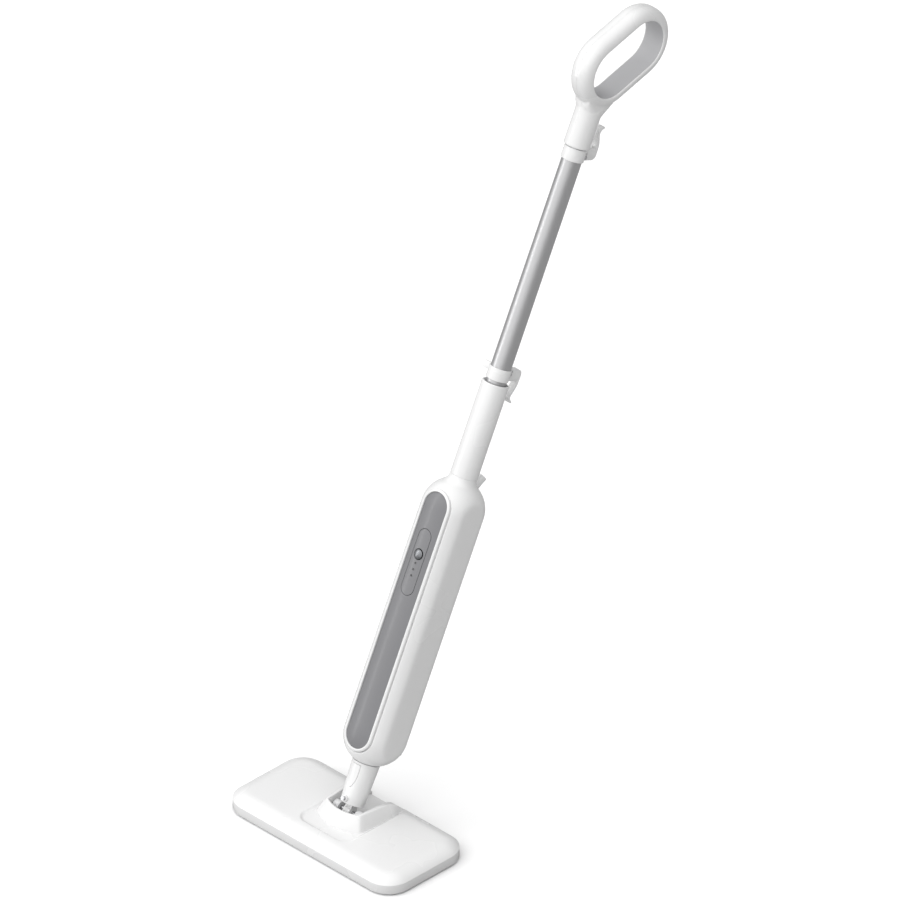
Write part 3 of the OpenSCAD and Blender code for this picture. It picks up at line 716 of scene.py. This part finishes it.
def make_handle():
    """The ring, stem and flare melted into one form, then parted into two halves; and the band."""
    half_t = GRIP_T / 2
    outline = fillet([(half_t, GRIP_HW, GRIP_FILLET), (-half_t, GRIP_HW, GRIP_EDGE),
                      (-half_t, -GRIP_HW, GRIP_EDGE), (half_t, -GRIP_HW, GRIP_FILLET)], 10)
    grip_ring = piece("handle", [ring_sweep(outline)], RING)
    low = handle[0].z
    r = handle[1].x
    profile = fillet([(13.6, low, 0), (r, low, 0.8), (r, STEM_TOP - 2, 0), (2, STEM_TOP, 0)], 4,
                     closed=False)
    stem = loft(turned([(0.01, low)] + profile + [(0.01, STEM_TOP)], 72))
    foot_y = RING_CENTRE.y - RING_HALF * math.sin(RING_TILT)
    foot_s = RING_CENTRE.z - RING_HALF * math.cos(RING_TILT)
    corners = []
    for angle in (math.pi * i / 24 for i in range(48)):
        side, depth = r * math.cos(angle), r * math.sin(angle)
        corners += [(side, depth * math.cos(FLARE_LEAN), s - depth * math.sin(FLARE_LEAN))
                    for s in (FLARE_LOW, FLARE_LOW + 1)]
    for angle, reach, half in FLARE_RODS:
        y = foot_y + reach * math.sin(math.radians(angle))
        s = foot_s - reach * math.cos(math.radians(angle))
        corners += [(x, u, v) for x in (-half, half) for u, v in arc(y, s, FLARE_R, 0, 345, 23)]
    join(grip_ring, piece("stem", [stem, hull_of(corners)]))
    melt(grip_ring, 0.9, 8)
    for name, side in (("handle_right", 1), ("handle_left", -1)):
        data = grip_ring.data.copy()
        bm = bmesh.new()
        bm.from_mesh(data)
        everything = bm.verts[:] + bm.edges[:] + bm.faces[:]
        seam = bmesh.ops.bisect_plane(bm, geom=everything, plane_co=(side * PARTING * MM, 0, 0),
                                      plane_no=(side, 0, 0), clear_inner=True)
        rim = [e for e in seam["geom_cut"] if isinstance(e, bmesh.types.BMEdge)]
        bmesh.ops.triangle_fill(bm, edges=rim, use_beauty=True)
        bm.to_mesh(data)
        bm.free()
        half = new_object(name, data)
        fit(half, "pole", white, [name + "_half"], 50)
    bpy.data.objects.remove(grip_ring)
    wide = GRIP_HW - 1.8
    band = fillet([(-half_t + 1.6, wide, 0), (-half_t - 0.25, wide, 0.5),
                   (-half_t - 0.25, -wide, 0.5), (-half_t + 1.6, -wide, 0)], 4)
    obj = piece("grip_band", [ring_sweep(band)], RING)
    fit(obj, "pole", grip, ["grip_liner"])


# ---------------------------------------------------------------- head

CROWN = [(0, 15.4), (0.5, 15.9), (1.4, 16.9), (3, 18.4), (5, 20), (7.5, 21.4), (10, 22.6), (13, 23.7),
         (16, 24.4), (19, 24.8), (22, 24.95), (26, 25)]
CORNER_R = 33
PAD_INSET = 3.5
DISH_Z = 22.6
WELL_FLOOR = 13.5
RAMP_START = 20
RAMP_DROP = 5.3


def crown_height(inset):
    """Height of the head's crowned top at a distance in from its outline."""
    if inset >= CROWN[-1][0]:
        return CROWN[-1][1]
    for (a, low), (b, high) in zip(CROWN, CROWN[1:]):
        if inset <= b:
            return low + (high - low) * (inset - a) / (b - a)


def dish_reach(x, y):
    """How far a point lies outside the dish's floor, in millimetres."""
    r = 14
    half = 42
    front = -43
    dx = abs(x) - (half - r)
    dy = (front + r) - y
    if dx > 0 and dy > 0:
        return math.hypot(dx, dy) - r
    return max(dx - r, dy - r)


def well_reach(x, y):
    """How far a point lies outside the cowl's hidden well."""
    return max(abs(x) - 34, -11 - y)


def well_floor(y):
    """Height of the cowl's floor, which slopes down to the back."""
    return WELL_FLOOR - RAMP_DROP * max(0, y - RAMP_START) / (cover[1].y - RAMP_START)


def top_height(x, y, inset):
    z = crown_height(inset)
    slope = smooth_step(-0.6, 5.2, dish_reach(x, y))
    z = min(z, DISH_Z + (25.4 - DISH_Z) * slope)
    if well_reach(x, y) < 0:
        z = min(z, well_floor(y) - 0.7)
    return z


def head_loop(inset):
    """The head's outline, moved in, as (x, y) points at the same places along each loop."""
    half_x, half_y = cover[1].x - inset, cover[1].y - inset
    r = min(max(CORNER_R - inset, 1.5), half_y)
    fixed = 74
    inner = [fixed * i / 90 for i in range(-90, 91)]
    reach = half_x - r
    outer = [fixed + (reach - fixed) * i / 14 for i in range(1, 15)]
    row = [-x for x in reversed(outer)] + inner + outer
    side = [(half_y - r) * (i / 8) for i in range(-7, 8)]
    loop = [(x, -half_y) for x in row]
    loop += arc(reach, r - half_y, r, -90, 0, 18)[1:]
    loop += [(half_x, y) for y in side]
    loop += arc(reach, half_y - r, r, 0, 90, 18)
    loop += [(x, half_y) for x in reversed(row)][1:]
    loop += arc(-reach, half_y - r, r, 90, 180, 18)[1:]
    loop += [(-half_x, -y) for y in side]
    loop += arc(-reach, r - half_y, r, 180, 270, 18)[:-1]
    return loop


def make_head_cover():
    low = cover[0].z
    insets = [c[0] for c in CROWN] + [23 + i for i in range(0, 3)]
    insets = sorted(set(insets + [27 + i * 0.9 for i in range(22)] + [48 + i * 1.6 for i in range(15)]))
    insets.append(cover[1].y - 0.0005)
    loops = []
    hem = [(2.6, 12.4), (2.6, low + 0.3), (2.3, low), (0.5, low), (0.15, low + 0.15), (0, low + 0.5)]
    for inset, z in hem:
        loops.append([(x, y, z) for x, y in head_loop(inset)])
    for inset in insets:
        loops.append([(x, y, top_height(x, y, inset)) for x, y in head_loop(inset)])
    skin = loft(loops)
    skin[1].append(tuple(range(len(loops[0]))))
    obj = piece("head_shell", [skin], HEAD)
    fit(obj, "head", white, ["head_cover"], 30)


def spread(points, count):
    """Points spaced evenly along a line through 3-D points."""
    points = [Vector(p) for p in points]
    steps = [(b - a).length for a, b in zip(points, points[1:])]
    total = sum(steps)
    out = []
    for i in range(count):
        want = total * i / (count - 1)
        k = 0
        while k < len(steps) - 1 and want > steps[k]:
            want -= steps[k]
            k += 1
        out.append(points[k].lerp(points[k + 1], want / steps[k]))
    return out


def cowl_line(corner, bulge, z, side):
    """One edge of the cowl's wall: an arched front between two corners, then back along the sides."""
    hw, y = corner
    front = [(hw * i / 12, y - bulge * (1 - (i / 12) ** 2), z) for i in range(-12, 13)]
    right = spread([(hw, y, z)] + side, 44)[1:]
    middle = spread(front, 61)
    left = [Vector((-p.x, p.y, p.z)) for p in reversed(right)]
    line = left + middle + right
    for _ in range(5):
        line = ([line[0]] + [(a + b * 2 + c) / 4 for a, b, c in zip(line, line[1:], line[2:])]
                + [line[-1]])
    return line


def make_cowl():
    back = cover[1].y - 0.1
    top = cowl[1].z
    sink = cowl_line((40.5, -14.5), 13.5, 13, [(43, 48, 12), (41, 60, 10), (38.2, back, 7)])
    base = cowl_line((40.5, -14.5), 13.5, 21, [(43, 48, 21), (41.2, 60, 18), (38.4, back, 14.2)])
    rim = cowl_line((30.6, -5.6), 8.9, top,
                    [(36, 36, top), (39.5, 48.5, 38), (38.9, 60, 26.7), (38, back, 15.2)])
    lip = cowl_line((26.8, -5), 6.4, top,
                    [(29.2, 36, top), (29.8, 48.5, 38), (28, 60, 26.6), (25.4, back, 15.2)])
    floor, under = [cowl_line((25, -5), 6, WELL_FLOOR - drop,
                              [(25, y, well_floor(y) - drop) for y in (RAMP_START, 36, 48.5, 60, back)])
                    for drop in (0, 1.1)]
    loops = [list(section) for section in zip(sink, base, rim, lip, floor, under)]
    wall = piece("cowl", [loft(loops, caps=True)], HEAD)
    soften_edges(wall, 0.9, 4, 42)
    outline = [(-17, 11.2), (RAMP_START, 11.2), (back + 0.1, well_floor(back) - 1.6),
               (back + 0.1, well_floor(back)), (RAMP_START, WELL_FLOOR), (-17, WELL_FLOOR)]
    slab = piece("well", [extruded(outline, -29, 29)], HEAD)
    join(wall, slab)
    fit(wall, "head", white, ["pivot_cowl"], 34)


def make_pad():
    """A flat microfibre pad: soft looped faces, and a bound edge."""
    half_x, half_y = pad[1].x, pad[1].y
    thick = pad[1].z
    r = CORNER_R - PAD_INSET
    levels = [(3.2, 0.0), (1.2, 0.15), (0.3, 0.7), (0, 1.3), (0.3, 2.0), (1.2, 2.5), (3.2, 2.6)]

    def outline(inset):
        dense = []
        corners = rounded_rect(half_x - inset, half_y - inset, max(r - inset, 2), 14)
        for a, b in zip(corners, corners[1:] + corners[:1]):
            steps = max(1, int(math.dist(a, b) / 2.5))
            dense += [(a[0] + (b[0] - a[0]) * k / steps, a[1] + (b[1] - a[1]) * k / steps)
                      for k in range(steps)]
        return dense

    base = outline(0)
    def ring(inset, z):
        loop = []
        for x, y in base:
            scale_x, scale_y = (half_x - inset) / half_x, (half_y - inset) / half_y
            lump = noise.noise(Vector((x, y, z * 3)) * 0.35)
            loop.append((x * scale_x, y * scale_y, min(thick, max(0, z + 0.25 * lump))))
        return loop

    insets = [4 + 2.4 * i for i in range(27)]
    low = [ring(inset, 0.12) for inset in reversed(insets)]
    edge = [ring(inset, z) for inset, z in levels]
    high = [ring(inset, thick - 0.05) for inset in insets]
    obj = piece("pad", [loft(low + edge + high, caps=True)], HEAD)
    fit(obj, "head", pad_cloth, ["mop_pad"], 60)


# ---------------------------------------------------------------- CAD pieces that stay

def dress_frame():
    """Gives each CAD node the material of its slot in the record."""
    for part in frame["record"]["subparts"]:
        obj = frame["nodes"][part["node"]]
        obj.data.materials.clear()
        obj.data.materials.append(SLOTS[part["material_slot"]])
        shade(obj, 30)


# ---------------------------------------------------------------- studio

LENS = 1600  # longer, and the mop lies past the clip end of the other views


def make_floor():
    """A white floor that throws little light back up at the mop."""
    size = 30000
    obj = piece("floor", [([(-size, -size, -0.05), (size, -size, -0.05), (size, size, -0.05),
                            (-size, size, -0.05)], [(0, 1, 2, 3)])], HEAD)
    s = Shader("floor_paint")
    tone = s.noise(3, 4)
    s.rough(s.ramp(tone, 0.8, 0.9))
    path = s.add("ShaderNodeLightPath")
    s.colour(s.mix(path.outputs["Is Camera Ray"], (0.42, 0.42, 0.42),
                   s.mix(s.ramp(tone, 0, 1), (0.94, 0.94, 0.94), (0.96, 0.96, 0.96))))
    obj.data.materials.append(s.material)


def make_world():
    """A white room, bright above and in front, and dim at the sides and behind."""
    world = bpy.data.worlds.new("studio")
    bpy.context.scene.world = world
    world.use_nodes = True
    nodes, links = world.node_tree.nodes, world.node_tree.links
    nodes.clear()
    place = nodes.new("ShaderNodeTexCoord")
    facing = nodes.new("ShaderNodeVectorMath")
    facing.operation = "DOT_PRODUCT"
    brightest = Vector((-0.02, -0.5, 0.86))
    facing.inputs[1].default_value = brightest.normalized()
    links.new(place.outputs["Generated"], facing.inputs[0])
    level = nodes.new("ShaderNodeMapRange")
    level.interpolation_type = "SMOOTHSTEP"
    level.inputs["From Min"].default_value = 0.0
    level.inputs["From Max"].default_value = 1.0
    level.inputs["To Min"].default_value = 0.27
    level.inputs["To Max"].default_value = 2.3
    links.new(facing.outputs["Value"], level.inputs["Value"])
    light = nodes.new("ShaderNodeBackground")
    links.new(level.outputs["Result"], light.inputs["Strength"])
    seen = nodes.new("ShaderNodeBackground")
    seen.inputs["Strength"].default_value = 1.0
    path = nodes.new("ShaderNodeLightPath")
    either = nodes.new("ShaderNodeMixShader")
    links.new(path.outputs["Is Camera Ray"], either.inputs[0])
    links.new(light.outputs[0], either.inputs[1])
    links.new(seen.outputs[0], either.inputs[2])
    links.new(either.outputs[0], nodes.new("ShaderNodeOutputWorld").inputs["Surface"])
    bpy.context.scene.view_settings.view_transform = "Standard"


def make_light(name, place, target, size, power):
    data = bpy.data.lights.new(name, "AREA")
    data.shape = "RECTANGLE"
    data.size, data.size_y = size
    data.energy = power
    obj = bpy.data.objects.new(name, data)
    bpy.context.scene.collection.objects.link(obj)
    obj.location = place
    obj.rotation_euler = (Vector(target) - Vector(place)).to_track_quat("-Z", "Y").to_euler()


def make_camera():
    """The photograph's view: nearly parallel, from the front right and above."""
    towards = Vector((0.5911, -0.5862, 0.5541))
    target = Vector((-0.0973, 0.2816, 0.4017)) + 0.1 * towards
    width = 1.1346
    data = bpy.data.cameras.new("camera")
    data.lens = LENS
    data.sensor_width = 36
    data.clip_start = 10
    data.clip_end = 200
    obj = bpy.data.objects.new("camera", data)
    bpy.context.scene.collection.objects.link(obj)
    obj.location = target + towards.normalized() * (width * data.lens / data.sensor_width)
    obj.rotation_euler = (-towards).to_track_quat("-Z", "Y").to_euler()
    bpy.context.scene.camera = obj


make_shells()
make_socket()
make_bezel()
make_panels()
make_button()
make_hooks()
make_neck()
make_handle()
make_head_cover()
make_cowl()
make_pad()
dress_frame()
make_floor()
make_world()
make_light("strip", (-2.2, -2.35, 1.0), (0, 0.2, 0.4), (0.3, 2.4), 18)
make_camera()
